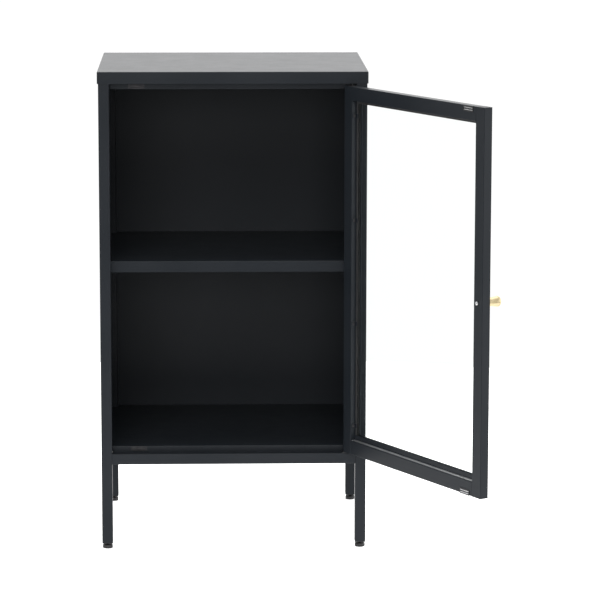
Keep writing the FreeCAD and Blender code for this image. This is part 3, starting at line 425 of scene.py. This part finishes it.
def make_leg_inserts():
    """Moulded plugs, each a rounded flange under a narrower block."""
    piece = Piece("leg_end_inserts")
    inside = 1.3 * MM
    for low, high in solids("leg_inserts"):
        seat = low.z + 1.0 * MM
        piece.brick(Vector((low.x, low.y, low.z)), Vector((high.x, high.y, seat)), 0.35 * MM)
        piece.brick(Vector((low.x + inside, low.y + inside, seat - 0.3 * MM)),
                    Vector((high.x - inside, high.y - inside, high.z)), 0.6 * MM)
    piece.finish("cabinet", "black_nylon", "leg_inserts")


# ---- knob ----

KNOB_FOOT = 0.68
KNOB_COLLAR = 1.9 * MM
KNOB_HEAD = 5.0 * MM
KNOB_ROUND = 2.4 * MM
KNOB_SIDES = 64
FLARE_STEPS, FLARE_CURVE = 14, 1.1


def make_knob():
    """A turned knob: collar, slender foot flaring to a head with one groove, and a dished end."""
    low, high = whole("door_knob", DOOR)
    head = (high.z - low.z) / 2
    length = high.y - low.y
    base = Vector(((low.x + high.x) / 2, high.y, (low.z + high.z) / 2))
    foot = KNOB_FOOT * head
    lip = foot + 0.8 * MM
    collar = [(CENTRE_HOLE * head, 0), (foot + 0.7 * MM, 0), (lip, 0.3 * MM), (lip, 1.1 * MM),
              (foot + 0.5 * MM, 1.5 * MM), (foot, KNOB_COLLAR)]
    flare = []
    reach = length - KNOB_HEAD
    for step in range(1, FLARE_STEPS + 1):
        share = step / FLARE_STEPS
        bulge = share ** FLARE_CURVE
        flare.append((foot + (head - foot) * bulge, KNOB_COLLAR + (reach - KNOB_COLLAR) * share))
    start = reach + 0.3 * MM
    floor = head - 0.3 * MM
    groove = [(head, start), (floor, start + 0.25 * MM), (floor, start + 0.5 * MM), (head, start + 0.75 * MM)]
    rim = arc(head - KNOB_ROUND, length - KNOB_ROUND, KNOB_ROUND, 0, 90, 9)
    dish = [(0.66 * head, length - 0.25 * MM), (0.3 * head, length - 0.45 * MM),
            (CENTRE_HOLE * head, length - 0.5 * MM)]
    knob = Piece("turned_knob", DOOR)
    knob.turned(collar + flare + groove + rim + dish, base, (0, -1, 0), KNOB_SIDES)
    knob.finish("door", "brass", "door_knob", sharp=50)


# ---- glazing ----

GASKET_LEG = 4.5 * MM
STRIP_SOFT = 0.2 * MM
CLIP_GAUGE, CLIP_BEND = 1.0 * MM, 1.3 * MM
LEAST_BEND = 0.15 * MM


def make_gasket():
    """A glazing channel with rounded lips on both faces of the pane."""
    low, high = whole("glass_gasket", DOOR)
    pane_low, pane_high = whole("door_glass", DOOR)
    wall = pane_low.x - low.x
    lip = wall / 2
    back = arc(GASKET_LEG - lip, low.y + lip, lip, -90, 90, 6)
    front = arc(GASKET_LEG - lip, high.y - lip, lip, -90, 90, 6)
    profile = [(0, low.y)] + back + [(wall, pane_low.y), (wall, pane_high.y)] + front + [(0, high.y)]
    piece = Piece("glazing_channel", DOOR)
    piece.framed(profile, low, high)
    piece.finish("door", "black_rubber", "glass_gasket")


def make_strip_and_bead():
    """The bright setting strip with a rounded nose, and the bead whose top is rolled over."""
    low, high = whole("glass_setting_strip", DOOR)
    half = (high.z - low.z) / 2
    nose = arc(high.y - half, low.z + half, half, -90, 90, 8)
    outline = [(low.y, low.z)] + nose + [(low.y, high.z)]
    piece = Piece("setting_strip", DOOR)
    piece.extruded(outline, along_x, low.x, high.x, STRIP_SOFT)
    piece.finish("door", "aluminium", "glass_setting_strip")
    low, high = whole("lower_glass_bead", DOOR)
    half = (high.y - low.y) / 2
    roll = arc(low.y + half, high.z - half, half, 0, 180, 8)
    outline = [(low.y, low.z), (high.y, low.z)] + roll
    piece = Piece("rolled_glass_bead", DOOR)
    piece.extruded(outline, along_x, low.x, high.x, STRIP_SOFT)
    piece.finish("door", "black_powder_coat", "lower_glass_bead")


def bent_angle(corner_u, corner_v, reach_u, reach_v, gauge, bend):
    """Outline of a sheet angle: legs from an outside corner along u and v, signs give the way."""
    su, sv = math.copysign(1, reach_u), math.copysign(1, reach_v)
    outer = arc(bend, bend, bend, 180, 270, 5)
    inner_bend = max(bend - gauge, LEAST_BEND)
    inner = arc(gauge + inner_bend, gauge + inner_bend, inner_bend, 270, 180, 5)
    tip = gauge / 2
    far_u = arc(abs(reach_u) - tip, tip, tip, -90, 90, 4)
    far_v = arc(tip, abs(reach_v) - tip, tip, 0, 180, 4)
    points = outer + far_u + inner + far_v
    return [(corner_u + su * u, corner_v + sv * v) for u, v in points]


def make_clips():
    """Bent clips over the pane's edge, four on each stile."""
    pane_low, pane_high = whole("door_glass", DOOR)
    middle = (pane_low.x + pane_high.x) / 2
    piece = Piece("bent_glass_clips", DOOR)
    for low, high in solids("glass_clips", DOOR):
        on_free_stile = low.x < middle
        corner, reach = (low.x, high.x - low.x) if on_free_stile else (high.x, low.x - high.x)
        outline = bent_angle(corner, low.y, reach, high.y - low.y, CLIP_GAUGE, CLIP_BEND)
        piece.extruded(outline, along_z, low.z, high.z, STRIP_SOFT)
    piece.finish("door", "black_powder_coat", "glass_clips")


# ---- shelf brackets ----

BRACKET_GAUGE, BRACKET_BEND = 1.2 * MM, 1.6 * MM
RIB_INSET, RIB_REACH, RIB_HALF = 1.0 * MM, 7.0 * MM, 1.0 * MM


def make_brackets():
    """Bent angles under the shelf with a pressed rib in each bend."""
    piece = Piece("bent_shelf_brackets")
    for low, high in solids("shelf_brackets"):
        on_left = low.x < 0
        corner, reach = (low.x, high.x - low.x) if on_left else (high.x, low.x - high.x)
        outline = bent_angle(corner, high.z, reach, low.z - high.z, BRACKET_GAUGE, BRACKET_BEND)
        piece.extruded(outline, along_y, low.y, high.y, 0.25 * MM)
        side = 1 if on_left else -1
        rib_y = (low.y + high.y) / 2
        start, end = corner + side * RIB_INSET, corner + side * RIB_REACH
        profile = [(start, high.z - RIB_INSET), (end, high.z - RIB_INSET), (start, high.z - RIB_REACH)]
        piece.extruded(profile, along_y, rib_y - RIB_HALF, rib_y + RIB_HALF, 0.3 * MM)
    piece.finish("cabinet", "black_powder_coat", "shelf_brackets")


# ---- welds ----

WELD_LEG = 1.7 * MM
WELD_INSET = 1.5 * MM
RING_GAP = 0.9 * MM
RIPPLE_PITCH, RIPPLE_SHARE = 2.1 * MM, 0.10
END_LEG = 0.35


def weld_bead(piece, start, end, out_a, out_b):
    """A rippled fillet between two faces; out_a and out_b point away along each face."""
    rings = []
    run = end - start
    count = max(8, int(run.length / RING_GAP) * 3)
    for step in range(count + 1):
        share = step / count
        fade = min(1.0, 6 * share + END_LEG, 6 * (1 - share) + END_LEG)
        ripple = 1 + RIPPLE_SHARE * math.sin(math.tau * share * run.length / RIPPLE_PITCH)
        leg = WELD_LEG * fade * ripple
        place = start + run * share
        ring = [place - (out_a + out_b) * 0.3 * WELD_LEG]
        for u, v in arc(0, 0, 1.0, 0, 90, 4):
            pull = 0.72 + 0.28 * abs(u - v)
            ring.append(place + (out_a * u + out_b * v) * leg * pull)
        rings.append(ring)
    piece.skin(rings)


def make_welds():
    """Fillet welds under the bottom rails, where each meets its posts."""
    piece = Piece("frame_welds")
    down = Vector((0, 0, -1))
    for rail, across in (("bottom_front_rail", 1), ("bottom_rear_rail", 1),
                         ("bottom_left_rail", 0), ("bottom_right_rail", 0)):
        low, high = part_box(rail)
        along = 1 - across
        for end, inward in ((low[along], 1), (high[along], -1)):
            start, stop = Vector((0, 0, low.z)), Vector((0, 0, low.z))
            start[along] = stop[along] = end
            start[across] = low[across] + WELD_INSET
            stop[across] = high[across] - WELD_INSET
            out = Vector((0, 0, 0))
            out[along] = inward
            weld_bead(piece, start, stop, out, down)
    piece.finish("cabinet", "black_powder_coat", sharp=60)


EDGE_WIDTHS = {
    "upper_strike_plate": 0.25, "lower_strike_plate": 0.25, "upper_hinge_plate": 0.25,
    "lower_hinge_plate": 0.25, "upper_catch_housing": 0.3, "lower_catch_housing": 0.3,
    "catch_pole_plates": 0.1, "free_stile_end_plugs": 0.5, "door_lower_bearing": 0.4,
    "door_upper_bearing": 0.4, "knob_washer": 0.15, "door_glass": 0.4}


def soften_hardware():
    """Round the edges of the small CAD pieces that stay; widths are in millimetres."""
    for name, width in EDGE_WIDTHS.items():
        node = frame["nodes"][name]
        weld = node.modifiers.new("weld", "WELD")
        weld.merge_threshold = 0.002 * MM
        bevel = node.modifiers.new("bevel", "BEVEL")
        bevel.width = width * MM
        bevel.segments = EDGE_STEPS
        bevel.limit_method = "ANGLE"
        bevel.angle_limit = math.radians(40)


for corner in ("front_left", "front_right", "rear_left", "rear_right"):
    make_foot(corner)
make_leg_inserts()
make_knob()
make_gasket()
make_strip_and_bead()
make_clips()
make_brackets()
make_welds()
soften_hardware()


# ---- studio ----

def make_floor():
    """A wide pale floor."""
    radius, sides = 1.7, 96
    mesh = bpy.data.meshes.new("studio_floor")
    net = bmesh.new()
    bmesh.ops.create_circle(net, cap_ends=True, radius=radius, segments=sides)
    net.to_mesh(mesh)
    net.free()
    floor = bpy.data.objects.new("studio_floor", mesh)
    bpy.context.scene.collection.objects.link(floor)
    g = Graph("studio_paper")
    tone = g.blend(g.spread(g.noise(0.4, 2.0), 0.3, 0.7), (0.90, 0.90, 0.90, 1), (0.92, 0.92, 0.92, 1))
    g.shader(Base_Color=tone, Roughness=0.9, Emission_Color=(1, 1, 1, 1), Emission_Strength=FLOOR_GLOW)
    mesh.materials.append(g.material)


def make_light(name, size, place, target, power):
    """A soft rectangular lamp."""
    data = bpy.data.lights.new(name, "AREA")
    data.shape = "RECTANGLE"
    data.size, data.size_y = size
    data.energy = power
    lamp = bpy.data.objects.new(name, data)
    lamp.location = place
    lamp.rotation_euler = (Vector(target) - Vector(place)).to_track_quat("-Z", "Y").to_euler()
    bpy.context.scene.collection.objects.link(lamp)


def make_world():
    """A pale surround: bright behind and beside the cabinet, dimmer in front of it."""
    world = bpy.data.worlds.new("studio")
    bpy.context.scene.world = world
    world.use_nodes = True
    tree = world.node_tree
    background = tree.nodes["Background"]
    background.inputs["Color"].default_value = (1, 1, 1, 1)
    coords = tree.nodes.new("ShaderNodeTexCoord")
    split = tree.nodes.new("ShaderNodeSeparateXYZ")
    tree.links.new(coords.outputs["Generated"], split.inputs[0])
    depth = tree.nodes.new("ShaderNodeMapRange")
    tree.links.new(split.outputs["Y"], depth.inputs["Value"])
    side = tree.nodes.new("ShaderNodeMapRange")
    tree.links.new(split.outputs["X"], side.inputs["Value"])
    for ramp, low, high, first, last in ((depth, -1.0, 0.4, WORLD_FRONT, WORLD_BACK),
                                         (side, -1.0, 1.0, WORLD_LEFT, WORLD_RIGHT)):
        ramp.inputs["From Min"].default_value = low
        ramp.inputs["From Max"].default_value = high
        ramp.inputs["To Min"].default_value = first
        ramp.inputs["To Max"].default_value = last
    both = tree.nodes.new("ShaderNodeMath")
    both.operation = "MULTIPLY"
    tree.links.new(depth.outputs["Result"], both.inputs[0])
    tree.links.new(side.outputs["Result"], both.inputs[1])
    seen = tree.nodes.new("ShaderNodeLightPath")
    pick = tree.nodes.new("ShaderNodeMix")
    tree.links.new(seen.outputs["Is Camera Ray"], pick.inputs["Factor"])
    tree.links.new(both.outputs[0], pick.inputs["A"])
    pick.inputs["B"].default_value = WORLD_SEEN
    tree.links.new(pick.outputs["Result"], background.inputs["Strength"])


def make_camera():
    """A long lens a little above the cabinet, square to its front."""
    data = bpy.data.cameras.new("camera")
    data.lens = CAMERA_LENS
    data.sensor_width = 36.0
    data.clip_end = 200.0
    camera = bpy.data.objects.new("camera", data)
    camera.location = CAMERA_PLACE
    camera.rotation_euler = [math.radians(turn) for turn in CAMERA_TURNS]
    bpy.context.scene.collection.objects.link(camera)
    bpy.context.scene.camera = camera


WORLD_FRONT, WORLD_BACK = 0.09, 1.95
WORLD_LEFT, WORLD_RIGHT = 0.6, 1.3
WORLD_SEEN = 1.05
FLOOR_GLOW = 0.55
CAMERA_PLACE = (-0.053, -5.799, 1.426)
CAMERA_TURNS = (80.35, -0.07, -1.80)
CAMERA_LENS = 182.95

make_floor()
make_world()
make_light("overhead", (3.0, 3.0), (0.0, 0.6, 3.6), (0.0, 0.2, 0.0), 40)
make_light("front_high", (3.0, 2.2), (-0.5, -3.1, 2.9), (0.0, 0.0, 0.5), 58)
make_light("front_low", (4.0, 1.8), (-0.9, -6.6, 1.8), (0.0, 0.0, 0.5), 116)
make_light("front_right", (2.4, 2.4), (3.2, -1.6, 0.9), (0.4, -0.4, 0.5), 22)
make_camera()

bpy.context.scene.view_settings.view_transform = "Standard"
